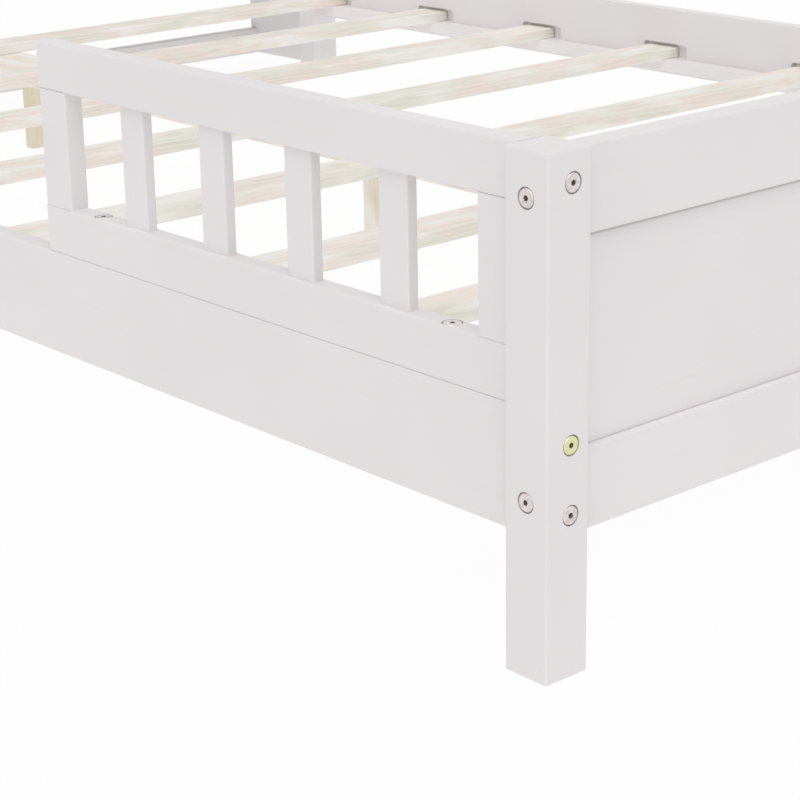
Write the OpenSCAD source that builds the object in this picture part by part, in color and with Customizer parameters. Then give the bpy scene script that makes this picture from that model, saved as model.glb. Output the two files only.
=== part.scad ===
// Low wooden bed for a child: foot board with a recessed panel, slatted base with a centre board,
// short guards beside the foot end and a storage headboard. Millimetres, +Z up.
// The foot end points along +X, the bed is centred on the origin and stands on Z = 0.

/* [Mattress space] */
// Length of the mattress that the bed takes
mattress_l = 1905; // [1650:5:2100]
// Width of the mattress that the bed takes
mattress_w = 1372; // [900:1:1600]
// Length left free between the mattress and the posts
mattress_gap_l = 23; // [5:1:60]
// Width left free between the mattress and the side rails
mattress_gap_w = 7; // [3:1:40]

/* [Foot posts] */
// Side of the square foot posts
post_w = 41.5; // [36:0.5:60]
// Height of the foot posts
post_h = 383; // [365:1:480]
// Rounding of the posts' edges
post_r = 2; // [1:0.5:5]

/* [Side rails] */
// Thickness of the side rails and guard boards
rail_t = 18; // [17:0.5:24]
// Height of a side rail
rail_h = 94.5; // [88:0.5:110]
// Height of the side rails' underside above the floor
rail_z = 102.5; // [90:0.5:112]
// Rounding of the rails' and boards' long edges
board_r = 1.5; // [0.5:0.25:3]

/* [Guards] */
// Length of a guard
guard_l = 592; // [480:1:900]
// Height of the guard's bottom rail
guard_base_h = 42; // [30:1:50]
// Height of the guard's top rail
guard_top_h = 41; // [36:1:50]
// Width of the two guard stiles
stile_w = 39; // [30:1:50]
// Width of a guard bar
bar_w = 32; // [24:1:40]
// Thickness of a guard bar
bar_t = 10; // [8:0.5:13]
// Length of the tenon on each end of a bar
tenon_l = 10; // [6:1:14]
// Shoulder left beside the tenon, on each edge of a bar
tenon_shoulder = 5; // [3:0.5:8]
// Shoulder left beside the tenon, on each face of a bar
tenon_side = 1; // [0.5:0.25:1.5]
// Distance from the guard's end to the bolt that holds it down
guard_bolt_in = 75; // [60:1:110]

/* [Foot board] */
// Thickness of the foot board's two rails
end_t = 20; // [18:0.5:26]
// Height of the foot board's top rail
end_top_h = 62; // [55:1:80]
// Height of the foot board's lower rail
end_low_h = 62; // [58:1:80]
// Step from the top of the posts down to the top rail
end_drop = 3; // [1:0.5:8]
// Thickness of the panel between the rails
panel_t = 9; // [6:0.5:12]
// Depth of the groove that takes the panel's edge
groove_d = 8; // [5:0.5:10]

/* [Slats] */
// Width of a slat
slat_w = 53; // [45:1:70]
// Thickness of a slat
slat_t = 15; // [12:0.5:20]
// Height of the slats' underside above the floor
slat_z = 127; // [122:0.5:140]
// Distance from the foot posts to the middle of the first slat
first_slat = 110; // [60:1:150]
// Distance from the head posts to the middle of the last slat
last_slat = 40; // [35:1:100]
// Depth of the routed pockets that hold the slat ends in the side rails
pocket_d = 10; // [6:0.5:12]
// Height of a pocket above the slat in it
pocket_top = 5; // [2:0.5:8]
// Length of a pocket past the slat, on the head side
pocket_back = 8; // [7:1:14]
// Length of a pocket past the slat, on the foot side
pocket_front = 23; // [8:1:30]
// Rounding of a pocket's corners
pocket_r = 6; // [2:0.5:6.5]
// Depth of the cleat that carries the slat ends
cleat_d = 20; // [16:0.5:25]
// Height of the cleat
cleat_h = 17; // [14:0.5:18.5]
// Length of side rail left free beside the barrel nut, before the cleat starts
cleat_start = 5; // [1:1:20]

/* [Centre support] */
// Width of the centre board
beam_w = 107; // [80:1:140]
// Thickness of the centre board
beam_t = 15; // [12:0.5:20]
// Gap between the centre board's ends and the posts' faces
beam_end = 6; // [3:1:20]
// Size of a centre leg along the bed
leg_t = 20; // [18:1:40]
// Size of a centre leg across the bed
leg_w = 40; // [30:1:60]
// Distance from the posts to the outer legs
leg_end_in = 153; // [100:1:300]
// How far the middle leg stands off the middle of the bed, towards the head
leg_mid_back = 28; // [0:1:60]
// How far the legs stand off the middle of the bed, towards the far side
leg_side = 21; // [0:1:30]

/* [Headboard] */
// Height of the headboard
head_h = 760; // [700:5:1000]
// Depth of the headboard from the posts' front face to its back
head_d = 220; // [180:5:300]
// Size of a head post across the bed
head_post_w = 50; // [46:1:60]
// Size of a head post along the bed
head_post_t = 40; // [36:1:60]
// Thickness of the headboard's side panels, shelf, top and dividers
head_board_t = 18; // [15:0.5:19]
// Height of the side panels' lower edge above the floor
side_foot = 12.5; // [5:0.5:60]
// Height of the low board at the foot of the back
back_rail_h = 44; // [36:1:60]
// Height of the lower cross rail's underside above the floor
head_rail_z = 205; // [200:1:240]
// Height of the shelf's underside above the floor
shelf_z = 470; // [380:5:500]
// Thickness of the back panel
back_t = 5; // [3:0.5:8]

/* [Bolts and dowels] */
// Diameter of the bolts
bolt_d = 6; // [5:0.5:6]
// Diameter of the flat bolt heads
bolt_head_d = 14; // [12:0.5:15]
// Thickness of the bolt heads
bolt_head_t = 2.5; // [2:0.25:3]
// Bevel around the outer edge of a bolt head
head_bevel = 0.6; // [0.3:0.1:1]
// Width of the hexagon socket across its flats
socket_w = 4; // [3:0.5:4.5]
// Diameter of the barrel nuts
nut_d = 10; // [9:0.5:11]
// Length of the barrel nuts
nut_l = 11; // [9:0.5:11]
// Distance from a joint to the barrel nut behind it
nut_in = 35; // [30:1:40]
// Distance between the two bolts of a side rail
bolt_pitch = 51.8; // [46:0.1:54]
// How much lower than the middle of the side rail its pair of bolts sits
pair_drop = 0.6; // [0:0.1:2]
// How far the side rail's bolts lie off the middle of the rail, towards its inner face
rail_bolt_in = 3; // [0:0.5:3]
// How much lower the side rail's bolts sit at the head end, to clear the last slat's pocket
head_bolt_drop = 6; // [5:0.5:8]
// Height between a side rail's bolt and the crossing bolt of the foot board
bolt_cross = 10; // [9:0.1:12]
// Distance from the top of a post to the guard's bolt
guard_bolt_drop = 23.5; // [20:0.5:24]
// Diameter of the wooden dowels
dowel_d = 8; // [6:0.5:8]
// Length of the wooden dowels
dowel_l = 24; // [20:1:28]
// Wood left between a dowel and the groove for the panel
dowel_edge = 1.5; // [1:0.5:3]
// Diameter of the screws
screw_d = 4; // [3:0.5:5]
// Diameter of the countersunk screw heads
screw_head = 8; // [7:0.5:9]
// Length of the screws that hold the cleats
cleat_screw_l = 30; // [27:1:32]
// Length of the screws that hold the shelf
shelf_screw_l = 50; // [36:1:60]
// Diameter of the threaded studs in the centre legs
stud_d = 8; // [6:0.5:10]
// Length of the studs
stud_l = 34; // [25:1:50]
// How far a stud reaches into the centre board
stud_up = 10; // [6:0.5:11]

/* [Clearances] */
// Play around a bolt shank, on each side
bolt_gap = 0.5; // [0.2:0.1:0.8]
// Play around a bolt head in its counterbore, on each side
head_gap = 0.9; // [0.2:0.1:1]
// Play around a barrel nut, a dowel, a tenon or a screw, on each side
fit_gap = 0.15; // [0.05:0.05:0.2]
// Play on each face of a panel in its groove
panel_gap = 0.5; // [0.2:0.1:0.8]
// Play at the bottom of a mortise or a dowel hole
end_gap = 1; // [0.5:0.25:2]
// Gap between a slat's end and the bottom of its pocket
slat_gap = 2; // [1:0.5:4]

/* [Hidden] */

$fn = 48;
cut = 1;                 // how far a cutting solid runs past the face it opens
bar_count = 4;           // bars in a guard
slat_count = 8;
NEAR = -1;
FAR = 1;

// How far each slat lies off the even spacing, towards the foot: slats are laid by hand.
slat_shift = [0, 0, 31, 14, -8, -10, 0, 0];

// Along the bed
rail_l = mattress_l + mattress_gap_l;
bed_l = post_w + rail_l + head_d;
foot_face = bed_l / 2;
foot_in = foot_face - post_w;
head_in = foot_in - rail_l;
head_post_back = head_in - head_post_t;
head_back = head_in - head_d;
end_x = foot_face - post_w / 2;
head_end_x = head_in - head_post_t / 2;

// Across the bed, on the far side
rail_in_y = (mattress_w + mattress_gap_w) / 2;
rail_y = rail_in_y + rail_t / 2;
rail_bolt_y = rail_y - rail_bolt_in;
post_out_y = rail_y + post_w / 2;
post_in_y = post_out_y - post_w;
head_out_y = post_in_y + head_post_w;
side_y = head_out_y - head_board_t / 2;
head_clear_y = head_out_y - head_board_t;

// Heights
rail_top = rail_z + rail_h;
guard_base_top = rail_top + guard_base_h;
guard_top_z = post_h - guard_top_h;
end_top_z = post_h - end_drop - end_top_h;
end_low_top = rail_z + end_low_h;
pair_z = rail_z + rail_h / 2 - pair_drop;
side_bolt_z = [pair_z - bolt_pitch / 2, pair_z + bolt_pitch / 2];
guard_bolt_z = post_h - guard_bolt_drop;
end_low_bolt_z = side_bolt_z[0] + bolt_cross;
end_top_bolt_z = guard_bolt_z - bolt_cross;
groove_to_dowel = groove_d + dowel_edge + dowel_d / 2;
end_dowel_z = [end_low_top - groove_to_dowel, end_top_z + groove_to_dowel];
head_top_z = head_h - head_board_t;
head_rail_top = head_rail_z + end_low_h;
head_bolt_z = head_rail_z + end_low_h / 2;
head_dowel_z = head_rail_top - groove_to_dowel;
beam_z = slat_z - beam_t;
cleat_z = slat_z - cleat_h;
cleat_end = nut_in + nut_d / 2 + cleat_start;

// Guard layout along the bed
guard_end = foot_in - guard_l;
post_stile_x = foot_in - stile_w / 2;
end_stile_x = guard_end + stile_w / 2;
bar_gap = (guard_l - 2 * stile_w - bar_count * bar_w) / (bar_count + 1);
guard_bolt_x = [foot_in - guard_bolt_in, guard_end + guard_bolt_in];
tenon_w = bar_w - 2 * tenon_shoulder;
tenon_t = bar_t - 2 * tenon_side;

// Legs: one near each end of the centre board and one near its middle
leg_x = [foot_in - leg_end_in, (foot_in + head_in) / 2 - leg_mid_back, head_in + leg_end_in];

// Headboard layout
divider_gap = (2 * head_clear_y - 2 * head_board_t) / 3;
divider_y = divider_gap / 2 + head_board_t / 2;
head_depth_clear = head_d - back_t;
cubby_front = head_in - head_board_t / 2;

// Bolt lengths under the head, from what each bolt passes through
bolt_tip = 8;
post_bolt_l = post_w - bolt_head_t + nut_in + bolt_tip;
head_bolt_l = head_post_t - bolt_head_t + nut_in + bolt_tip;
head_cross_bolt_l = head_post_w - bolt_head_t + nut_in + bolt_tip;
guard_bolt_l = guard_base_h - bolt_head_t + nut_in + bolt_tip;

// Distance from a side rail's bolts to the rail's inner face, which their nut holes open on
rail_face = rail_t / 2 - rail_bolt_in;

// Small hardware sizes
socket_depth = 4;
cleat_screw_back = 32;   // distance from the middle of a slat to the cleat's screw below it

// Colours
white = [0.89, 0.88, 0.88];
pine = [0.9, 0.84, 0.74];
steel = [0.72, 0.72, 0.7];
beech = [0.8, 0.66, 0.48];

function slat_x(i) =
    let (even = (rail_l - first_slat - last_slat) / (slat_count - 1))
    foot_in - first_slat - i * even + slat_shift[i];

function bar_x(i) = foot_in - stile_w - bar_gap - bar_w / 2 - i * (bar_w + bar_gap);

// ---- Shared shapes ----

// Draws its children on the far side of the bed, or mirrors them to the near side.
module on_side(side) {
    if (side == FAR) children();
    else mirror([0, 1, 0]) children();
}

// Rectangle with rounded corners, centred on the origin.
module rounded_rect(w, h, r) {
    square([w - 2 * r, h], center = true);
    square([w, h - 2 * r], center = true);
    for (x = [-1, 1], y = [-1, 1])
        translate([x * (w / 2 - r), y * (h / 2 - r)]) circle(r = r);
}

// Board running along X from x0 to x1, standing on z, with eased long edges.
module board_x(x0, x1, y, z, t, h, r = board_r) {
    translate([x0, y, z + h / 2]) rotate([90, 0, 90])
        linear_extrude(x1 - x0) rounded_rect(t, h, r);
}

// Board running along Y from y0 to y1, standing on z, with eased long edges.
module board_y(y0, y1, x, z, t, h, r = board_r) {
    translate([x, y1, z + h / 2]) rotate([90, 0, 0])
        linear_extrude(y1 - y0) rounded_rect(t, h, r);
}

// Foot post standing on the floor, with its long edges and its top edges eased.
module foot_post_body() {
    translate([end_x, post_out_y - post_w / 2, 0]) intersection() {
        linear_extrude(post_h) rounded_rect(post_w, post_w, post_r);
        translate([-post_w / 2, 0, 0]) rotate([90, 0, 90]) linear_extrude(post_w) post_outline();
        translate([0, post_w / 2, 0]) rotate([90, 0, 0]) linear_extrude(post_w) post_outline();
    }
}

// Foot post seen from one side: upright, with its two upper corners rounded.
module post_outline() {
    translate([-post_w / 2, 0]) square([post_w, post_h - post_r]);
    translate([-post_w / 2 + post_r, 0]) square([post_w - 2 * post_r, post_h]);
    for (x = [-1, 1])
        translate([x * (post_w / 2 - post_r), post_h - post_r]) circle(r = post_r);
}

// ---- Bolts, nuts, dowels and screws ----

// Bolt with its head's outer face on z = 0 and its shank running down.
module bolt(l) {
    difference() {
        union() {
            translate([0, 0, -bolt_head_t]) cylinder(d = bolt_head_d, h = bolt_head_t - head_bevel);
            translate([0, 0, -head_bevel])
                cylinder(d1 = bolt_head_d, d2 = bolt_head_d - 2 * head_bevel, h = head_bevel);
            translate([0, 0, -bolt_head_t - l]) cylinder(d = bolt_d, h = l);
        }
        translate([0, 0, -socket_depth])
            cylinder(d = socket_w / cos(30), h = socket_depth + cut, $fn = 6);
    }
}

// Clearance hole and counterbore for a bolt.
module bolt_hole(l) {
    translate([0, 0, -bolt_head_t]) cylinder(d = bolt_head_d + 2 * head_gap, h = bolt_head_t + cut);
    translate([0, 0, -bolt_head_t - l - end_gap]) cylinder(d = bolt_d + 2 * bolt_gap, h = l + end_gap);
}

// Turns +Z to the inner face of the board: towards -X or towards -Y.
module across(axis) {
    rotate(axis == "x" ? [0, -90, 0] : [90, 0, 0]) children();
}

// Barrel nut on the bolt's axis, a distance grip + nut_in below the bolt's head face.
module barrel_nut(grip, axis) {
    translate([0, 0, -grip - nut_in]) difference() {
        across(axis) cylinder(d = nut_d, h = nut_l, center = true);
        cylinder(d = bolt_d + 2 * fit_gap, h = nut_d + 2 * cut, center = true);
    }
}

// Cross hole for the barrel nut, open on the board's inner face, a distance face from the bolt's axis.
module nut_hole(grip, axis, face) {
    translate([0, 0, -grip - nut_in]) across(axis)
        translate([0, 0, -nut_l / 2 - fit_gap])
            cylinder(d = nut_d + 2 * fit_gap, h = nut_l / 2 + fit_gap + face + cut);
}

module dowel() {
    cylinder(d = dowel_d, h = dowel_l, center = true);
}

module dowel_hole() {
    cylinder(d = dowel_d + 2 * fit_gap, h = dowel_l + 2 * end_gap, center = true);
}

// Countersunk screw with its head's face on z = 0; play > 0 gives the hole for it.
module screw(l, play = 0) {
    head_h = (screw_head - screw_d) / 2;
    translate([0, 0, -head_h])
        cylinder(d1 = screw_d + 2 * play, d2 = screw_head + 2 * play, h = head_h);
    translate([0, 0, -l - play]) cylinder(d = screw_d + 2 * play, h = l - head_h + play);
}

// ---- Where the hardware goes, on the far side, with +Z out of each head ----

module at_side_rail_foot_bolts() {
    for (z = side_bolt_z) translate([foot_face, rail_bolt_y, z]) rotate([0, 90, 0]) children();
}

module at_side_rail_head_bolts() {
    for (z = side_bolt_z)
        translate([head_post_back, rail_bolt_y, z - head_bolt_drop]) rotate([0, -90, 0]) children();
}

module at_guard_post_bolt() {
    translate([foot_face, rail_bolt_y, guard_bolt_z]) rotate([0, 90, 0]) children();
}

module at_guard_base_bolts() {
    for (x = guard_bolt_x) translate([x, rail_y, guard_base_top]) children();
}

module at_foot_board_bolt(z) {
    translate([end_x, post_out_y, z]) rotate([-90, 0, 0]) children();
}

module at_head_rail_bolt() {
    translate([head_end_x, head_out_y, head_bolt_z]) rotate([-90, 0, 0]) children();
}

module at_foot_board_dowel(z) {
    translate([end_x, post_in_y, z]) rotate([-90, 0, 0]) children();
}

module at_head_rail_dowel() {
    translate([head_end_x, post_in_y, head_dowel_z]) rotate([-90, 0, 0]) children();
}

module at_stile_dowels(x, z) {
    for (s = [-1, 1]) translate([x + s * stile_w / 4, rail_y, z]) children();
}

// Dowels between a head post and the side panel behind it.
module at_side_panel_dowels() {
    count = 4;
    low = side_foot + 2 * head_post_w;
    high = head_top_z - 2 * head_post_w;
    for (i = [0 : count - 1])
        translate([head_post_back, side_y, low + i * (high - low) / (count - 1)])
            rotate([0, 90, 0]) children();
}

// Dowels between a side panel and the low board at the foot of the back.
module at_back_rail_dowels() {
    for (f = [0.25, 0.75])
        translate([head_back + head_board_t / 2, head_clear_y, side_foot + f * back_rail_h])
            rotate([90, 0, 0]) children();
}

// Dowels between the headboard's top and a side panel.
module at_top_side_dowels() {
    for (f = [0.3, 0.8])
        translate([head_post_back - f * (head_d - head_post_t), side_y, head_top_z]) children();
}

// Dowels between a divider and the board at height z.
module at_divider_dowels(z) {
    for (f = [0.25, 0.75])
        translate([cubby_front - f * head_depth_clear, divider_y, z]) children();
}

module at_shelf_screws() {
    for (f = [0.3, 0.8])
        translate([head_post_back - f * (head_d - head_post_t), head_out_y, shelf_z + head_board_t / 2])
            rotate([-90, 0, 0]) children();
}

// A screw of the cleat under each slat, except the one over the cleat's end.
module at_cleat_screws() {
    for (i = [0 : slat_count - 2])
        translate([slat_x(i) - cleat_screw_back, rail_in_y - cleat_d, cleat_z + cleat_h / 2])
            rotate([90, 0, 0]) children();
}

module at_leg_studs() {
    for (x = leg_x) translate([x, leg_side, beam_z + stud_up - stud_l]) children();
}

// ---- Posts ----

// Groove in a post for the panel's edge, between heights z0 and z1.
module post_groove(x, z0, z1) {
    translate([x - panel_t / 2 - panel_gap, post_in_y - cut, z0])
        cube([panel_t + 2 * panel_gap, groove_d + cut, z1 - z0]);
}

// Foot post: bolt holes from both outer faces and a groove for the panel's edge.
module foot_post(side) {
    color(white) on_side(side) difference() {
        foot_post_body();
        at_side_rail_foot_bolts() bolt_hole(post_bolt_l);
        at_guard_post_bolt() bolt_hole(post_bolt_l);
        for (z = [end_low_bolt_z, end_top_bolt_z]) at_foot_board_bolt(z) bolt_hole(post_bolt_l);
        for (z = end_dowel_z) at_foot_board_dowel(z) dowel_hole();
        post_groove(end_x, end_low_top, end_top_z);
    }
}

// Head post: carries the side rail, the lower cross rail, the front panel and the side panel.
module head_post(side) {
    color(white) on_side(side) difference() {
        translate([head_end_x, head_out_y - head_post_w / 2, 0])
            linear_extrude(head_top_z) rounded_rect(head_post_t, head_post_w, post_r);
        at_side_rail_head_bolts() bolt_hole(head_bolt_l);
        at_head_rail_bolt() bolt_hole(head_cross_bolt_l);
        at_head_rail_dowel() dowel_hole();
        at_side_panel_dowels() dowel_hole();
        translate([head_end_x, side_y, head_top_z]) dowel_hole();
        post_groove(head_end_x, head_rail_top, shelf_z);
    }
}

// ---- Side rails and cleats ----

module side_rail(side) {
    color(white) on_side(side) difference() {
        board_x(head_in, foot_in, rail_y, rail_z, rail_t, rail_h);
        at_side_rail_foot_bolts() bolt_hole(post_bolt_l);
        at_side_rail_foot_bolts() nut_hole(post_w, "y", rail_face);
        at_side_rail_head_bolts() bolt_hole(head_bolt_l);
        at_side_rail_head_bolts() nut_hole(head_post_t, "y", rail_face);
        at_guard_base_bolts() bolt_hole(guard_bolt_l);
        at_guard_base_bolts() nut_hole(guard_base_h, "y", rail_t / 2);
        at_cleat_screws() screw(cleat_screw_l, fit_gap);
        for (i = [0 : slat_count - 1]) slat_pocket(i);
    }
}

// Routed pocket for the far end of slat i, open on the rail's inner face.
module slat_pocket(i) {
    h = slat_t + pocket_top;
    l = slat_w + pocket_back + pocket_front;
    translate([slat_x(i) - slat_w / 2 - pocket_back + l / 2, rail_in_y + pocket_d, slat_z + h / 2])
        rotate([90, 0, 0]) linear_extrude(pocket_d + cut) rounded_rect(l, h, pocket_r);
}

module slat_cleat(side) {
    color(white) on_side(side) difference() {
        board_x(head_in + cleat_end, foot_in - cleat_end, rail_in_y - cleat_d / 2, cleat_z, cleat_d, cleat_h);
        at_cleat_screws() screw(cleat_screw_l, fit_gap);
    }
}

// ---- Foot board ----

// Groove along one edge of a cross rail, for the panel.
module panel_groove(x, z) {
    translate([x - panel_t / 2 - panel_gap, -post_in_y - cut, z])
        cube([panel_t + 2 * panel_gap, 2 * post_in_y + 2 * cut, groove_d + cut]);
}

module foot_top_rail() {
    color(white) difference() {
        board_y(-post_in_y, post_in_y, end_x, end_top_z, end_t, end_top_h);
        panel_groove(end_x, end_top_z - cut);
        for (side = [NEAR, FAR]) on_side(side) {
            at_foot_board_bolt(end_top_bolt_z) bolt_hole(post_bolt_l);
            at_foot_board_bolt(end_top_bolt_z) nut_hole(post_w, "x", end_t / 2);
            at_foot_board_dowel(end_dowel_z[1]) dowel_hole();
        }
    }
}

module foot_lower_rail() {
    color(white) difference() {
        board_y(-post_in_y, post_in_y, end_x, rail_z, end_t, end_low_h);
        panel_groove(end_x, end_low_top - groove_d);
        for (side = [NEAR, FAR]) on_side(side) {
            at_foot_board_bolt(end_low_bolt_z) bolt_hole(post_bolt_l);
            at_foot_board_bolt(end_low_bolt_z) nut_hole(post_w, "x", end_t / 2);
            at_foot_board_dowel(end_dowel_z[0]) dowel_hole();
        }
    }
}

// Panel of thickness panel_t between heights z0 and z1, with its edges in the grooves around it.
module grooved_panel(x, z0, z1) {
    ends = post_in_y + groove_d - panel_gap;
    translate([x - panel_t / 2, -post_in_y, z0 - groove_d + panel_gap])
        cube([panel_t, 2 * post_in_y, z1 - z0 + 2 * (groove_d - panel_gap)]);
    translate([x - panel_t / 2, -ends, z0 + panel_gap])
        cube([panel_t, 2 * ends, z1 - z0 - 2 * panel_gap]);
}

module foot_panel() {
    color(white) grooved_panel(end_x, end_low_top, end_top_z);
}

// ---- Guards ----

// Mortise with round ends, as a router leaves it.
module mortise(l) {
    w = tenon_w + 2 * fit_gap;
    t = tenon_t + 2 * fit_gap;
    translate([-(w - t) / 2, -t / 2, 0]) cube([w - t, t, l]);
    for (s = [-1, 1]) translate([s * (w - t) / 2, 0, 0]) cylinder(d = t, h = l);
}

// Tenon that fills the mortise less its play.
module tenon(l) {
    translate([-(tenon_w - tenon_t) / 2, -tenon_t / 2, 0]) cube([tenon_w - tenon_t, tenon_t, l]);
    for (s = [-1, 1]) translate([s * (tenon_w - tenon_t) / 2, 0, 0]) cylinder(d = tenon_t, h = l);
}

module guard_bottom_rail(side) {
    color(white) on_side(side) difference() {
        board_x(guard_end, foot_in, rail_y, rail_top, rail_t, guard_base_h);
        at_guard_base_bolts() bolt_hole(guard_bolt_l);
        for (x = [post_stile_x, end_stile_x]) at_stile_dowels(x, guard_base_top) dowel_hole();
        for (i = [0 : bar_count - 1])
            translate([bar_x(i), rail_y, guard_base_top - tenon_l - end_gap]) mortise(tenon_l + end_gap + cut);
    }
}

module guard_top_rail(side) {
    color(white) on_side(side) difference() {
        board_x(guard_end, foot_in, rail_y, guard_top_z, rail_t, guard_top_h);
        at_guard_post_bolt() bolt_hole(post_bolt_l);
        at_guard_post_bolt() nut_hole(post_w, "y", rail_face);
        for (x = [post_stile_x, end_stile_x]) at_stile_dowels(x, guard_top_z) dowel_hole();
        for (i = [0 : bar_count - 1])
            translate([bar_x(i), rail_y, guard_top_z - cut]) mortise(tenon_l + end_gap + cut);
    }
}

module guard_stile(side, x) {
    color(white) on_side(side) difference() {
        translate([x, rail_y, guard_base_top])
            linear_extrude(guard_top_z - guard_base_top) rounded_rect(stile_w, rail_t, board_r);
        for (z = [guard_base_top, guard_top_z]) at_stile_dowels(x, z) dowel_hole();
    }
}

module guard_bar(side, i) {
    color(white) on_side(side) translate([bar_x(i), rail_y, 0]) {
        translate([0, 0, guard_base_top])
            linear_extrude(guard_top_z - guard_base_top) rounded_rect(bar_w, bar_t, board_r);
        translate([0, 0, guard_base_top - tenon_l]) tenon(tenon_l + cut);
        translate([0, 0, guard_top_z - cut]) tenon(tenon_l + cut);
    }
}

// ---- Slats and centre support ----

module slat(i) {
    reach = rail_in_y + pocket_d - slat_gap;
    color(pine) board_y(-reach, reach, slat_x(i), slat_z, slat_w, slat_t);
}

module centre_beam() {
    color(pine) difference() {
        board_x(head_in + beam_end, foot_in - beam_end, 0, beam_z, beam_w, beam_t);
        at_leg_studs() cylinder(d = stud_d + 2 * fit_gap, h = stud_l + end_gap);
    }
}

module centre_leg(i) {
    color(pine) difference() {
        translate([leg_x[i], leg_side, 0]) linear_extrude(beam_z) rounded_rect(leg_t, leg_w, board_r);
        at_leg_studs() translate([0, 0, -end_gap]) cylinder(d = stud_d + 2 * fit_gap, h = stud_l);
    }
}

// ---- Headboard ----

module headboard_side(side) {
    color(white) on_side(side) difference() {
        board_x(head_back, head_post_back, side_y, side_foot, head_board_t, head_top_z - side_foot);
        at_side_panel_dowels() dowel_hole();
        at_back_rail_dowels() dowel_hole();
        at_top_side_dowels() dowel_hole();
        at_shelf_screws() screw(shelf_screw_l, fit_gap);
    }
}

module headboard_lower_rail() {
    color(white) difference() {
        board_y(-post_in_y, post_in_y, head_end_x, head_rail_z, end_t, end_low_h);
        panel_groove(head_end_x, head_rail_top - groove_d);
        for (side = [NEAR, FAR]) on_side(side) {
            at_head_rail_bolt() bolt_hole(head_cross_bolt_l);
            at_head_rail_bolt() nut_hole(head_post_w, "x", end_t / 2);
            at_head_rail_dowel() dowel_hole();
        }
    }
}

module headboard_front_panel() {
    color(white) grooved_panel(head_end_x, head_rail_top, shelf_z);
}

// Shelf: notched at its front corners around the posts, grooved below for the front panel.
module headboard_shelf() {
    color(white) difference() {
        translate([head_back + back_t, -head_clear_y, shelf_z])
            cube([head_depth_clear, 2 * head_clear_y, head_board_t]);
        for (side = [NEAR, FAR]) on_side(side) {
            translate([head_post_back, post_in_y, shelf_z - cut])
                cube([head_post_t + cut, head_post_w, head_board_t + 2 * cut]);
            at_divider_dowels(shelf_z + head_board_t) dowel_hole();
            at_shelf_screws() screw(shelf_screw_l, fit_gap);
        }
        panel_groove(head_end_x, shelf_z - cut);
    }
}

module headboard_top() {
    color(white) difference() {
        board_y(-head_out_y, head_out_y, (head_in + head_back) / 2, head_top_z, head_d, head_board_t);
        for (side = [NEAR, FAR]) on_side(side) {
            translate([head_end_x, side_y, head_top_z]) dowel_hole();
            at_top_side_dowels() dowel_hole();
            at_divider_dowels(head_top_z) dowel_hole();
        }
    }
}

module headboard_divider(side) {
    z = shelf_z + head_board_t;
    color(white) on_side(side) difference() {
        translate([head_back + back_t, divider_y - head_board_t / 2, z])
            cube([cubby_front - head_back - back_t, head_board_t, head_top_z - z]);
        at_divider_dowels(z) dowel_hole();
        at_divider_dowels(head_top_z) dowel_hole();
    }
}

module headboard_back_panel() {
    color(white) translate([head_back, -head_clear_y, head_rail_z])
        cube([back_t, 2 * head_clear_y, head_top_z - head_rail_z]);
}

module headboard_back_rail() {
    color(white) difference() {
        board_y(
            -head_clear_y, head_clear_y, head_back + head_board_t / 2, side_foot, head_board_t, back_rail_h
        );
        for (side = [NEAR, FAR]) on_side(side) at_back_rail_dowels() dowel_hole();
    }
}

// ---- Hardware groups ----

module frame_bolts() {
    color(steel) for (side = [NEAR, FAR]) on_side(side) {
        at_side_rail_foot_bolts() bolt(post_bolt_l);
        at_side_rail_head_bolts() bolt(head_bolt_l);
    }
}

module foot_board_bolts() {
    color(steel) for (side = [NEAR, FAR], z = [end_low_bolt_z, end_top_bolt_z])
        on_side(side) at_foot_board_bolt(z) bolt(post_bolt_l);
}

module guard_bolts() {
    color(steel) for (side = [NEAR, FAR]) on_side(side) {
        at_guard_post_bolt() bolt(post_bolt_l);
        at_guard_base_bolts() bolt(guard_bolt_l);
    }
}

module headboard_bolts() {
    color(steel) for (side = [NEAR, FAR]) on_side(side) at_head_rail_bolt() bolt(head_cross_bolt_l);
}

module barrel_nuts() {
    color(steel) for (side = [NEAR, FAR]) on_side(side) {
        at_side_rail_foot_bolts() barrel_nut(post_w, "y");
        at_side_rail_head_bolts() barrel_nut(head_post_t, "y");
        at_guard_post_bolt() barrel_nut(post_w, "y");
        at_guard_base_bolts() barrel_nut(guard_base_h, "y");
        for (z = [end_low_bolt_z, end_top_bolt_z]) at_foot_board_bolt(z) barrel_nut(post_w, "x");
        at_head_rail_bolt() barrel_nut(head_post_w, "x");
    }
}

module frame_dowels() {
    color(beech) for (side = [NEAR, FAR]) on_side(side) {
        for (z = end_dowel_z) at_foot_board_dowel(z) dowel();
        at_head_rail_dowel() dowel();
    }
}

module guard_dowels() {
    color(beech) for (side = [NEAR, FAR]) on_side(side)
        for (x = [post_stile_x, end_stile_x], z = [guard_base_top, guard_top_z])
            at_stile_dowels(x, z) dowel();
}

module headboard_dowels() {
    color(beech) for (side = [NEAR, FAR]) on_side(side) {
        at_side_panel_dowels() dowel();
        at_back_rail_dowels() dowel();
        translate([head_end_x, side_y, head_top_z]) dowel();
        at_top_side_dowels() dowel();
        at_divider_dowels(head_top_z) dowel();
        at_divider_dowels(shelf_z + head_board_t) dowel();
    }
}

module leg_studs() {
    color(steel) at_leg_studs() cylinder(d = stud_d, h = stud_l);
}

module cleat_screws() {
    color(steel) for (side = [NEAR, FAR]) on_side(side)
        at_cleat_screws() screw(cleat_screw_l);
}

module shelf_screws() {
    color(steel) for (side = [NEAR, FAR]) on_side(side)
        at_shelf_screws() screw(shelf_screw_l);
}

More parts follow.
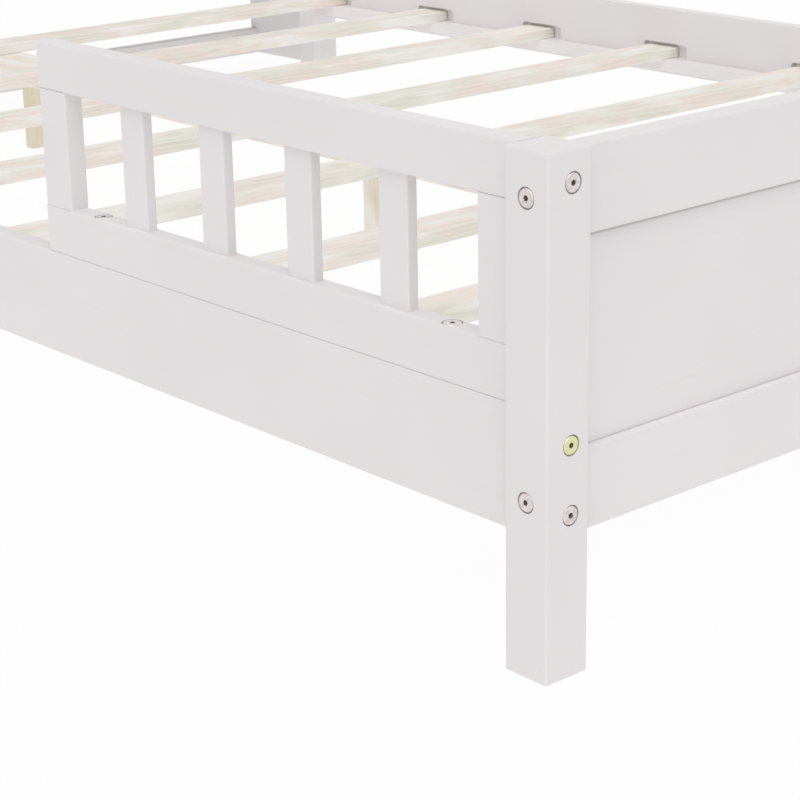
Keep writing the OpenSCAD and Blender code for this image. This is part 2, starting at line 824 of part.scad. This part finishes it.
foot_post(NEAR);  // foot_post_near
foot_post(FAR);  // foot_post_far
head_post(NEAR);  // head_post_near
head_post(FAR);  // head_post_far
side_rail(NEAR);  // side_rail_near
side_rail(FAR);  // side_rail_far
slat_cleat(NEAR);  // slat_cleat_near
slat_cleat(FAR);  // slat_cleat_far
foot_top_rail();
foot_panel();
foot_lower_rail();
guard_top_rail(NEAR);  // guard_near_top_rail
guard_bottom_rail(NEAR);  // guard_near_bottom_rail
guard_stile(NEAR, post_stile_x);  // guard_near_post_stile
guard_stile(NEAR, end_stile_x);  // guard_near_end_stile
guard_bar(NEAR, 0);  // guard_near_bar_1
guard_bar(NEAR, 1);  // guard_near_bar_2
guard_bar(NEAR, 2);  // guard_near_bar_3
guard_bar(NEAR, 3);  // guard_near_bar_4
guard_top_rail(FAR);  // guard_far_top_rail
guard_bottom_rail(FAR);  // guard_far_bottom_rail
guard_stile(FAR, post_stile_x);  // guard_far_post_stile
guard_stile(FAR, end_stile_x);  // guard_far_end_stile
guard_bar(FAR, 0);  // guard_far_bar_1
guard_bar(FAR, 1);  // guard_far_bar_2
guard_bar(FAR, 2);  // guard_far_bar_3
guard_bar(FAR, 3);  // guard_far_bar_4
slat(0);  // slat_1
slat(1);  // slat_2
slat(2);  // slat_3
slat(3);  // slat_4
slat(4);  // slat_5
slat(5);  // slat_6
slat(6);  // slat_7
slat(7);  // slat_8
centre_beam();
centre_leg(0);  // centre_leg_foot
centre_leg(1);  // centre_leg_middle
centre_leg(2);  // centre_leg_head
headboard_side(NEAR);  // headboard_side_near
headboard_side(FAR);  // headboard_side_far
headboard_lower_rail();
headboard_front_panel();
headboard_shelf();
headboard_top();
headboard_back_panel();
headboard_back_rail();
headboard_divider(NEAR);  // headboard_divider_near
headboard_divider(FAR);  // headboard_divider_far
frame_bolts();
foot_board_bolts();
guard_bolts();
headboard_bolts();
barrel_nuts();
frame_dowels();
guard_dowels();
headboard_dowels();
leg_studs();
cleat_screws();
shelf_screws();
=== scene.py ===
# %% [markdown]
# # A white child's bed with a pine slatted base
#
# The bed is wooden furniture that goes together with bolts: painted posts, rails and panels, a low guard
# at each side of the foot end, and bare pine slats that lie across the side rails. Every board was made
# in the workshop model and comes in already at its place, so this lesson is about finish and light. It
# paints the frame, grows the grain in the pine, plates the bolts, and then sets up a plain studio. The
# order is the one a maker would use: look through the camera first, then do one finish at a time.

import random
from math import cos, radians, sin

import bpy
from mathutils import Matrix, Vector


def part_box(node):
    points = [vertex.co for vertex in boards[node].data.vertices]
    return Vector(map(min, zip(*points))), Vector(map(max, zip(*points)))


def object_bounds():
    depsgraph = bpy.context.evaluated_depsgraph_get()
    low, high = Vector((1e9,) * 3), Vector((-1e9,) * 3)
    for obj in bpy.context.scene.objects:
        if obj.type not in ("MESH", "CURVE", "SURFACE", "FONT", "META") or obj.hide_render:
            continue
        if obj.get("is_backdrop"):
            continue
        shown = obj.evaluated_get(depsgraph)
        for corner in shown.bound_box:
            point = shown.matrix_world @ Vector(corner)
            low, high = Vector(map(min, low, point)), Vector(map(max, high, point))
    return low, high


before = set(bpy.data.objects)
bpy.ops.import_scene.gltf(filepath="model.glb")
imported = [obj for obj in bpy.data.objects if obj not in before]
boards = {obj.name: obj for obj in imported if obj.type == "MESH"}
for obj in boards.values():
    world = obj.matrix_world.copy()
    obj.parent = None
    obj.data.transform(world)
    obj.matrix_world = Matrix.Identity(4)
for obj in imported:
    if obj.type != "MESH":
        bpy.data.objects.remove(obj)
bpy.ops.object.select_all(action="DESELECT")
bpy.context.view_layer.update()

# %% [markdown]
# ## The camera
#
# A bed corner shows best from the height of someone who sits by it, through a long lens, so upright posts
# stay nearly upright and the far end doesn't shrink much. The camera stands a little over two metres out,
# looks down by about nineteen degrees, and leans by one degree. It could be aimed with a Track To
# constraint, but a constraint can't hold the lean, so the three directions of the camera are worked out
# and put in its matrix.

# %% Camera
CAMERA_PLACE = Vector((2.0893, -1.7142, 0.6917))
CAMERA_TURN = radians(49.03)
CAMERA_DROP = radians(18.74)
CAMERA_LEAN = radians(-1.04)
LENS = 98.92
SENSOR_WIDTH = 36
FAR_CLIP = 60


def camera_matrix(place, turn, drop, lean):
    """World matrix of a camera that looks along a compass turn and down by an angle, rolled by lean."""
    back = Vector((sin(turn) * cos(drop), -cos(turn) * cos(drop), sin(drop)))
    right = (-back).cross(Vector((0, 0, 1))).normalized()
    up = right.cross(-back)
    leant_right = right * cos(lean) + up * sin(lean)
    leant_up = up * cos(lean) - right * sin(lean)
    turned = Matrix((leant_right, leant_up, back)).transposed()
    return Matrix.Translation(place) @ turned.to_4x4()


lens = bpy.data.cameras.new("camera")
lens.lens = LENS
lens.sensor_width = SENSOR_WIDTH
lens.clip_end = FAR_CLIP
camera = bpy.data.objects.new("camera", lens)
camera.matrix_world = camera_matrix(CAMERA_PLACE, CAMERA_TURN, CAMERA_DROP, CAMERA_LEAN)
bpy.context.scene.collection.objects.link(camera)
bpy.context.scene.camera = camera
print("camera at", [round(v, 3) for v in camera.location], "lens", lens.lens)

# %% [markdown]
# ## Writing shaders as sums
#
# A shader is a net of small nodes, and a net is hard to read as code. Wrapping one socket in a class and
# giving it plus, minus and times means a finish can be written as a sum, as it would be on paper. The
# class picks the right node for what it holds: a Math node for a number, Vector Math for a direction and
# Mix for a colour, because a Math node would turn a colour grey. Any other node comes from one method.


# %% Signal, one socket of a shader
class Signal:
    """A socket of a shader net, or the empty net itself when it has no socket yet."""

    def __init__(self, tree, socket=None):
        self.tree = tree
        self.socket = socket

    def node(self, kind, settings=None, inputs=None, output=0):
        """Adds one node: its settings first, then values or links on its sockets."""
        made = self.tree.nodes.new(kind)
        for name, value in (settings or {}).items():
            setattr(made, name, value)
        for name, value in (inputs or {}).items():
            if isinstance(value, Signal):
                self.tree.links.new(value.socket, made.inputs[name])
            else:
                made.inputs[name].default_value = value
        return Signal(self.tree, made.outputs[output])

    def _join(self, operation, first, second):
        kinds = {s.socket.type for s in (first, second) if isinstance(s, Signal)}
        if "RGBA" in kinds:
            settings = {"data_type": "RGBA", "blend_type": operation, "clamp_result": False}
            return self.node("ShaderNodeMix", settings, {"Factor": 1.0, 6: first, 7: second}, 2)
        if "VECTOR" in kinds:
            return self.node("ShaderNodeVectorMath", {"operation": operation}, {0: first, 1: second})
        return self.node("ShaderNodeMath", {"operation": operation}, {0: first, 1: second})

    def __add__(self, other):
        return self._join("ADD", self, other)

    def __sub__(self, other):
        return self._join("SUBTRACT", self, other)

    def __rsub__(self, other):
        return self._join("SUBTRACT", other, self)

    def __mul__(self, other):
        return self._join("MULTIPLY", self, other)

    __radd__ = __add__
    __rmul__ = __mul__

    def run(self, operation, other=0.0):
        """A Math node by name, for what has no sign of its own."""
        return self.node("ShaderNodeMath", {"operation": operation}, {0: self, 1: other})

    def length(self):
        return self.node("ShaderNodeVectorMath", {"operation": "LENGTH"}, {0: self}, "Value")

    def part(self, letter):
        """One measure of a place: x, y or z."""
        return self.node("ShaderNodeSeparateXYZ", None, {0: self}, letter.upper())

    def between(self, low, high):
        """0 below low, 1 above high, with a soft step between them."""
        settings = {"interpolation_type": "SMOOTHSTEP"}
        return self.node("ShaderNodeMapRange", settings, {"Value": self, "From Min": low, "From Max": high})

    def noise(self, scale, detail=2.0, roughness=0.5):
        """Noise from 0 to 1 at a number of lumps per metre."""
        inputs = {"Vector": self, "Scale": scale, "Detail": detail, "Roughness": roughness}
        return self.node("ShaderNodeTexNoise", None, inputs)

    def mix(self, first, second):
        """first where this mask is 0 and second where it is 1."""
        return self.node("ShaderNodeMix", {"data_type": "RGBA"}, {"Factor": self, 6: first, 7: second}, 2)


def linear(red, green, blue):
    """A colour read off a screen, 0 to 255, as the linear colour that a shader takes."""
    levels = [c / 255 for c in (red, green, blue)]
    return tuple([c / 12.92 if c <= 0.04045 else ((c + 0.055) / 1.055) ** 2.4 for c in levels] + [1.0])


print("mid grey 128 is", round(linear(128, 128, 128)[0], 4), "in linear light")

# %% [markdown]
# ## One way to start and end a finish
#
# All finishes share a beginning, the place of a point on the bed in metres, and an end, the Principled
# shader with a bump. Object coordinates are used and not generated ones, because every board sits at the
# origin with its place in its mesh, so a pattern of two millimetres is two millimetres on every piece.


# %% Start and end of a finish
def new_finish(name):
    """An empty material and the place of a point on it, in metres."""
    material = bpy.data.materials.new(name)
    material.use_nodes = True
    material.node_tree.nodes.clear()
    net = Signal(material.node_tree)
    return material, net.node("ShaderNodeTexCoord", output="Object")


def close_finish(material, place, colour, roughness, height, depth, **constants):
    """Puts colour, roughness and a bump of a depth in metres on the shader, and fixed numbers too."""
    bump = place.node("ShaderNodeBump", None, {"Height": height, "Distance": depth, "Strength": 1.0})
    inputs = {"Base Color": colour, "Roughness": roughness, "Normal": bump}
    inputs.update({name.replace("_", " "): value for name, value in constants.items()})
    shader = place.node("ShaderNodeBsdfPrincipled", None, inputs)
    end = material.node_tree.nodes.new("ShaderNodeOutputMaterial")
    material.node_tree.links.new(shader.socket, end.inputs["Surface"])
    return material


LONG_WAYS = {"x": 0, "y": 1, "z": 2}


def stretched(place, way, squeeze):
    """The place with its measure along the board squeezed, so that every lump becomes a long streak."""
    scale = [1.0, 1.0, 1.0]
    scale[LONG_WAYS[way]] = squeeze
    return place * tuple(scale)


def long_way(board):
    """The letter of the longest side of a board, which is the way its grain runs."""
    low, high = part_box(board)
    sides = high - low
    return "xyz"[max(range(3), key=lambda i: sides[i])]


print("grain of a side rail runs along", long_way("side_rail_near"))

# %% [markdown]
# ## White satin paint
#
# The frame is sanded pine and board under sprayed white paint. Paint like this isn't one flat colour: it
# clouds a little over a hand's width, the long fibres of the wood press through as faint lines, and the
# spray leaves a skin of tiny dimples that breaks up the sheen. Each of the three is a noise of its own
# size. The fibres follow the board, so the finish is made once for each way that a board can run.
#
# The side rails have pockets for the slat ends, which are routed after the spraying, so their walls are
# bare wood. The finish finds them by place: anything behind the inner face of a rail, at the height of
# the slats. A second material on the pocket faces would do as well, but then it would have to be kept in
# step by hand.
#
# The foot panel sits in a groove under the top rail, and in the crease where the two meet a thin grey
# line of painted shade is laid on the panel. It is found by height in the same way.

# %% White paint
PAINT_LIGHT = linear(236, 232, 233)
PAINT_SHADE = linear(233, 229, 230)
PAINT_FIBRE = linear(225, 220, 219)
POCKET_WOOD = linear(246, 244, 241)
POCKET_STREAK = linear(238, 235, 230)
POCKET_IN = (0.6897, 0.6902)
POCKET_OUT = (0.7000, 0.7005)
POCKET_LOW = (0.1265, 0.1268)
POCKET_HIGH = (0.1472, 0.1475)
# Painted shade: the grey of the thin line in the crease under the foot board's top rail.
JOINT_PAINTED_SHADE = linear(197, 191, 190)
JOINT_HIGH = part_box("foot_top_rail")[0].z
JOINT_SHADE_WIDTH = 0.0042
CLOUD_LUMPS = 7
GROWTH_LUMPS = 60
FIBRE_LUMPS = 420
DIMPLE_LUMPS = 900
FIBRE_SHOW = 0.25
PAINT_DEPTH = 0.00012


def white_paint(way, spot=""):
    """Satin white paint over wood with its grain along x, y or z. A spot is "pockets" or "joint"."""
    material, place = new_finish("white_paint_" + way + ("_" + spot if spot else ""))
    clouds = place.noise(CLOUD_LUMPS, 2).between(0.3, 0.7)
    fibres = stretched(place, way, 0.02).noise(FIBRE_LUMPS, 3, 0.6)
    growth = stretched(place, way, 0.05).noise(GROWTH_LUMPS, 2)
    dimples = place.noise(DIMPLE_LUMPS, 1)
    lines = fibres.between(0.45, 0.8) * growth.between(0.4, 0.75)
    colour = (lines * FIBRE_SHOW).mix(clouds.mix(PAINT_LIGHT, PAINT_SHADE), PAINT_FIBRE)
    # Painted shade: a thin grey line on the foot panel, just below the underside of its top rail.
    if spot == "joint":
        joint = place.part("z").between(JOINT_HIGH - JOINT_SHADE_WIDTH, JOINT_HIGH - JOINT_SHADE_WIDTH * 0.5)
        colour = joint.mix(colour, JOINT_PAINTED_SHADE)
    if spot == "pockets":
        across, up = place.part("y").run("ABSOLUTE"), place.part("z")
        inside = across.between(*POCKET_IN) * (1 - across.between(*POCKET_OUT))
        inside = inside * up.between(*POCKET_LOW) * (1 - up.between(*POCKET_HIGH))
        colour = inside.mix(colour, fibres.mix(POCKET_WOOD, POCKET_STREAK))
    roughness = 0.42 + fibres * 0.1 - clouds * 0.05
    height = dimples * 0.35 + fibres * 0.3 + growth * 0.4
    return close_finish(material, place, colour, roughness, height, PAINT_DEPTH, IOR=1.46)


paints = {way: white_paint(way) for way in "xyz"}
rail_paint = white_paint("x", "pockets")
panel_paint = white_paint("y", "joint")
print("paints:", sorted(m.name for m in (*paints.values(), rail_paint, panel_paint)))

# %% [markdown]
# ## Planed pine
#
# The slats, the centre board and its legs are bare pine. A board is a slice of a tree, so its lines are
# slices of rings: points at one distance from the middle of the trunk share a tone. The middle of the
# trunk lies a hand's width from the board, and the trunk wanders, which bends the rings into the long
# arches of a sawn face. Each ring grows pale and wide in spring and ends in a thin darker line. Over the
# rings go fine fibres, broad stretches of pinkish and greenish wood, and here and there a small knot. The
# ring lines are strong in some stretches and almost gone in others, as they are on a planed board. The
# legs are a more straw-coloured cut. The leg at the head end is the deepest in colour.

# %% Rings of the tree
RING_WIDTH = 0.0052
SWAY_LUMPS = 12
SWAY_REACH = 0.06
FINE_SWAY_LUMPS = 60
FINE_SWAY_REACH = 0.003
TRUNK_ASIDE = 0.05
TRUNK_BELOW = (0.05, 0.09)


def late_wood(place, own, way, middle, chance):
    """1 on the thin dark end of each ring of the tree, 0 on its pale part, for a board round its middle."""
    trunk = [chance.uniform(-TRUNK_ASIDE, TRUNK_ASIDE) for _ in range(3)]
    trunk[1 if way == "z" else 2] = -chance.uniform(*TRUNK_BELOW)
    from_trunk = place - tuple(m + t for m, t in zip(middle, trunk))
    sway = stretched(own, way, 0.22).noise(SWAY_LUMPS, 1)
    fine_sway = stretched(own, way, 0.1).noise(FINE_SWAY_LUMPS, 2)
    reach = stretched(from_trunk, way, 0.02).length() + sway * SWAY_REACH + fine_sway * FINE_SWAY_REACH
    ring = (reach * (1 / RING_WIDTH)).run("FRACT")
    return ring.between(0.25, 0.88) - ring.between(0.9, 1.0)


print("rings are", RING_WIDTH * 1000, "mm wide")

# %% [markdown]
# ## From rings to boards
#
# One pine finish for all boards would show the same marks on each, and eight slats side by side would
# give that away. So each board gets its own copy, with its own place in the tree and its own shift of the
# noises, drawn from a seed so that it comes out the same each time. The tones are laid on in the order in
# which the eye meets them: pale wood, its pink and green stretches, the ring lines, the fibres, and the
# knots last.

# %% Pine boards
PINE_PALE = linear(246, 244, 240)
PINE_RING = linear(214, 201, 189)
PINE_PINK = linear(243, 230, 221)
PINE_GREEN = linear(233, 234, 222)
PINE_STRAW = linear(230, 226, 196)
PINE_DEEP_STRAW = linear(231, 224, 197)
PINE_KNOT = linear(196, 172, 152)
PATCH_LUMPS = 22
WANDER_LUMPS = 34
PINE_FIBRE_LUMPS = 700
KNOTS_PER_METRE = 6.5
KNOT_EDGE = (0.012, 0.075)
RINGS_FAINT = 0.06
RINGS_STRONG = 0.36
PINE_FIBRE_SHOW = 0.24
KNOT_SHOW = 0.6
SHIFT_REACH = 8
PINE_DEPTH = 0.00015


def pine(name, way, middle, seed, pale, cool):
    """Bare pine for one board: its grain's way, its middle, a seed and its pale and cooler tones."""
    material, place = new_finish(name)
    chance = random.Random(seed)
    own = place + tuple(chance.uniform(-SHIFT_REACH, SHIFT_REACH) for _ in range(3))
    late = late_wood(place, own, way, middle, chance)
    fibres = stretched(own, way, 0.015).noise(PINE_FIBRE_LUMPS, 3, 0.65)
    patches = stretched(own, way, 0.42).noise(PATCH_LUMPS, 2, 0.55)
    wander = stretched(own, way, 0.25).noise(WANDER_LUMPS, 2, 0.6)
    cell = stretched(own, way, 0.4).node("ShaderNodeTexVoronoi", None, {"Scale": KNOTS_PER_METRE})
    knot = 1 - cell.between(*KNOT_EDGE)
    tone = patches.between(0.38, 0.62).mix(cool, PINE_PINK)
    wood = wander.between(0.3, 0.6).mix(pale, tone)
    strength = RINGS_FAINT + wander.between(0.4, 0.7) * RINGS_STRONG
    ringed = (late * strength).mix(wood, PINE_RING)
    streaked = (fibres.between(0.5, 0.8) * PINE_FIBRE_SHOW).mix(ringed, PINE_RING)
    colour = (knot * KNOT_SHOW).mix(streaked, PINE_KNOT)
    roughness = 0.62 + fibres * 0.14 - late * 0.06
    height = fibres * 0.8 + late * 0.5 + knot * 0.6
    return close_finish(material, place, colour, roughness, height, PINE_DEPTH, IOR=1.45)


bare = [name for name in boards if name.startswith(("slat_", "centre_")) and "cleat" not in name]
pines = {}
for number, name in enumerate(sorted(bare)):
    low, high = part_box(name)
    way = long_way(name)
    pale = PINE_DEEP_STRAW if name == "centre_leg_head" else PINE_PALE
    cool = PINE_STRAW if way == "z" else PINE_GREEN
    pines[name] = pine("pine_" + name, way, (low + high) / 2, 40 + number, pale, cool)
print("pine pieces:", len(pines))

# %% [markdown]
# ## Beech dowels
#
# The dowels are short beech pegs pressed into both boards of a joint. Beech is pinker and closer than
# pine and is full of short dark flecks, which are its rays cut across. They sit inside the wood, so the
# finish stays simple: one fine noise for the fibres, and the peaks of a finer one for the flecks.

# %% Beech
BEECH = linear(214, 186, 150)
BEECH_FLECK = linear(178, 140, 104)
BEECH_FIBRE_LUMPS = 900
FLECK_LUMPS = 1600
FLECK_SHOW = 0.7
BEECH_DEPTH = 0.0001


def beech():
    """Raw beech with short dark flecks."""
    material, place = new_finish("beech_dowel")
    fibres = place.noise(BEECH_FIBRE_LUMPS, 3, 0.6)
    flecks = place.noise(FLECK_LUMPS, 1).between(0.62, 0.72)
    colour = (flecks * FLECK_SHOW).mix(BEECH, BEECH_FLECK)
    return close_finish(material, place, colour, 0.55 + fibres * 0.15, fibres, BEECH_DEPTH, IOR=1.45)


dowel_wood = beech()
print("dowels:", sum("dowels" in name for name in boards), "groups")

# %% [markdown]
# ## Plated bolts
#
# Bolts and screws are steel with a thin coat of zinc. Most of it is clear and reads as soft silver with
# faint blotches. One row of the bolts that hold the side rails was plated yellow instead, which gives a
# thin straw tint. The yellow row is found by its height on the bed.
#
# Sockets and shanks lie in shade, and that shade is painted: the zinc is bright and metallic only within a
# fraction of a millimetre of the faces that heads lie flush with, and deeper everywhere it is a painted
# shade of dull brown-grey without metal. The faces are read from the boxes of the posts and of the guard's
# base.

# %% Zinc
ZINC = linear(228, 220, 218)
ZINC_DULL = linear(196, 192, 188)
ZINC_YELLOW = linear(222, 226, 168)
# Painted shade: the dull brown-grey of sockets and shanks below the heads' faces.
ZINC_PAINTED_SHADE = linear(150, 136, 126)
YELLOW_ROW = 0.155
NO_YELLOW = 9.0
BLOTCH_LUMPS = 260
SCUFF_LUMPS = 1500
ZINC_DEPTH = 0.00003
FACE_DEPTH = 0.0007
FACE_METAL = 0.9
TINT_SHOW = 0.85
TINT_STEP = 0.001
FOOT_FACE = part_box("foot_post_near")[1].x
HEAD_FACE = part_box("head_post_near")[0].x
GUARD_BASE_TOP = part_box("guard_near_bottom_rail")[1].z


def zinc(name, yellow_row, side_face):
    """Clear zinc plate, with painted shade below the heads' faces. What is above yellow_row is plated
    yellow.
    """
    material, place = new_finish(name)
    blotches = place.noise(BLOTCH_LUMPS, 3, 0.6)
    scuffs = place.noise(SCUFF_LUMPS, 2)
    silver = blotches.between(0.35, 0.75).mix(ZINC, ZINC_DULL)
    along, across, up = place.part("x"), place.part("y").run("ABSOLUTE"), place.part("z")
    tint = up.between(yellow_row, yellow_row + TINT_STEP)
    plated = (tint * TINT_SHOW).mix(silver, ZINC_YELLOW)
    unshaded_face = along.run("GREATER_THAN", FOOT_FACE - FACE_DEPTH)
    unshaded_face = unshaded_face.run("MAXIMUM", along.run("LESS_THAN", HEAD_FACE + FACE_DEPTH))
    unshaded_face = unshaded_face.run("MAXIMUM", across.run("GREATER_THAN", side_face - FACE_DEPTH))
    unshaded_face = unshaded_face.run("MAXIMUM", (up - GUARD_BASE_TOP).run("ABSOLUTE").run("LESS_THAN", FACE_DEPTH))
    # Painted shade: deeper than the heads' faces, the zinc turns brown-grey and loses its metal, standing
    # in for the shade in sockets and on shanks.
    colour = unshaded_face.mix(ZINC_PAINTED_SHADE, plated)
    roughness = 0.3 + blotches * 0.16
    return close_finish(material, place, colour, roughness, scuffs, ZINC_DEPTH, Metallic=unshaded_face * FACE_METAL)


plates = {
    "plain": zinc("zinc_plate", NO_YELLOW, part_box("foot_post_far")[1].y),
    "rail": zinc("zinc_plate_rail_bolts", YELLOW_ROW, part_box("foot_post_far")[1].y),
    "headboard": zinc("zinc_plate_headboard_bolts", NO_YELLOW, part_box("head_post_far")[1].y),
}
print("plates:", sorted(plates))

# %% [markdown]
# ## Giving every board its finish
#
# The boards carry the plain colours of the workshop model. Each now gets its real finish in the same
# slot. Sorting by name keeps this short: bare wood by its own material, metal and dowels by what they
# are, and all that is left is painted, with the grain along its longest side.

# %% Assign
METAL_WORDS = ("bolts", "nuts", "studs", "screws")
count = {"pine": 0, "metal": 0, "beech": 0, "paint": 0}
for name, board in boards.items():
    if name in pines:
        finish, kind = pines[name], "pine"
    elif name == "frame_bolts":
        finish, kind = plates["rail"], "metal"
    elif name == "headboard_bolts":
        finish, kind = plates["headboard"], "metal"
    elif name.endswith(METAL_WORDS):
        finish, kind = plates["plain"], "metal"
    elif name.endswith("dowels"):
        finish, kind = dowel_wood, "beech"
    elif name.startswith("side_rail"):
        finish, kind = rail_paint, "paint"
    elif name == "foot_panel":
        finish, kind = panel_paint, "paint"
    else:
        finish, kind = paints[long_way(name)], "paint"
    board.data.materials.clear()
    board.data.materials.append(finish)
    count[kind] += 1
print("finishes given:", count)

# %% [markdown]
# ## Floor and studio light
#
# The bed stands in a white sweep, as for a catalogue. The floor is a pale sheet that glows like a light
# table, which keeps the legs and the underside pale. Where the camera sees it, it is lifted almost to
# white, and a trace of the soft shadow of the bed stays on it. The sky around is even light, as from big
# white screens. One lamp high above makes the tops a little brighter than the sides and darkens the wood
# just under the rails. It is a far lamp with a very wide disc, because a near one would light the near
# post more than the far end, and a small one would draw hard edges.

# %% Floor
FLOOR_SIZE = 40.0
FLOOR_LIFT = 0.95
FLOOR_GLOW = 0.85
FLOOR_PALE = 0.9


def looked_at(net):
    """1 for rays from the camera, off a glossy face or through glass, and 0 for all other rays."""
    kinds = ("Camera", "Glossy", "Transmission")
    rays = [net.node("ShaderNodeLightPath", output=f"Is {kind} Ray") for kind in kinds]
    return rays[0].run("MAXIMUM", rays[1]).run("MAXIMUM", rays[2])


bpy.ops.mesh.primitive_plane_add(size=FLOOR_SIZE, location=(0, 0, 0))
floor = bpy.context.object
floor.name = "floor"
floor_paint = bpy.data.materials.new("floor")
floor_paint.use_nodes = True
floor_paint.node_tree.nodes.clear()
net = Signal(floor_paint.node_tree)
matt = net.node("ShaderNodeBsdfDiffuse", None, {"Color": (FLOOR_PALE, FLOOR_PALE, FLOOR_PALE, 1)})
glow = net.node("ShaderNodeEmission", None, {"Color": (1, 1, 1, 1), "Strength": 1.0})
lift = looked_at(net) * (FLOOR_LIFT - FLOOR_GLOW) + FLOOR_GLOW
cover = net.node("ShaderNodeMixShader", None, {0: lift, 1: matt, 2: glow})
end = net.tree.nodes.new("ShaderNodeOutputMaterial")
net.tree.links.new(cover.socket, end.inputs["Surface"])
floor.data.materials.append(floor_paint)
floor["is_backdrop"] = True
print("floor of", FLOOR_SIZE, "metres")

# %% Sky and lamp
SKY_LEVEL = 0.59
LAMP_LEVEL = 1.15
LAMP_SPREAD = radians(50)
LAMP_FROM = Vector((0.35, -0.33, 0.87))
world = bpy.data.worlds.new("sky")
world.use_nodes = True
bpy.context.scene.world = world
world.node_tree.nodes.clear()
net = Signal(world.node_tree)
plain = net.node("ShaderNodeBackground", None, {"Color": (1, 1, 1, 1), "Strength": SKY_LEVEL})
white = net.node("ShaderNodeBackground", None, {"Color": (1, 1, 1, 1), "Strength": 1.0})
sky = net.node("ShaderNodeMixShader", None, {0: looked_at(net), 1: plain, 2: white})
end = net.tree.nodes.new("ShaderNodeOutputWorld")
net.tree.links.new(sky.socket, end.inputs["Surface"])

lamp_data = bpy.data.lights.new("lamp", "SUN")
lamp_data.energy = LAMP_LEVEL
lamp_data.angle = LAMP_SPREAD
lamp = bpy.data.objects.new("lamp", lamp_data)
lamp.rotation_euler = (-LAMP_FROM).to_track_quat("-Z", "Y").to_euler()
bpy.context.scene.collection.objects.link(lamp)
bpy.context.scene.view_settings.view_transform = "Standard"
print("sky", SKY_LEVEL, "lamp", LAMP_LEVEL)

# %% [markdown]
# ## Measure and finish
#
# The last step measures the box around all that shows, with the floor left out.

# %% Measure
low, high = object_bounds()
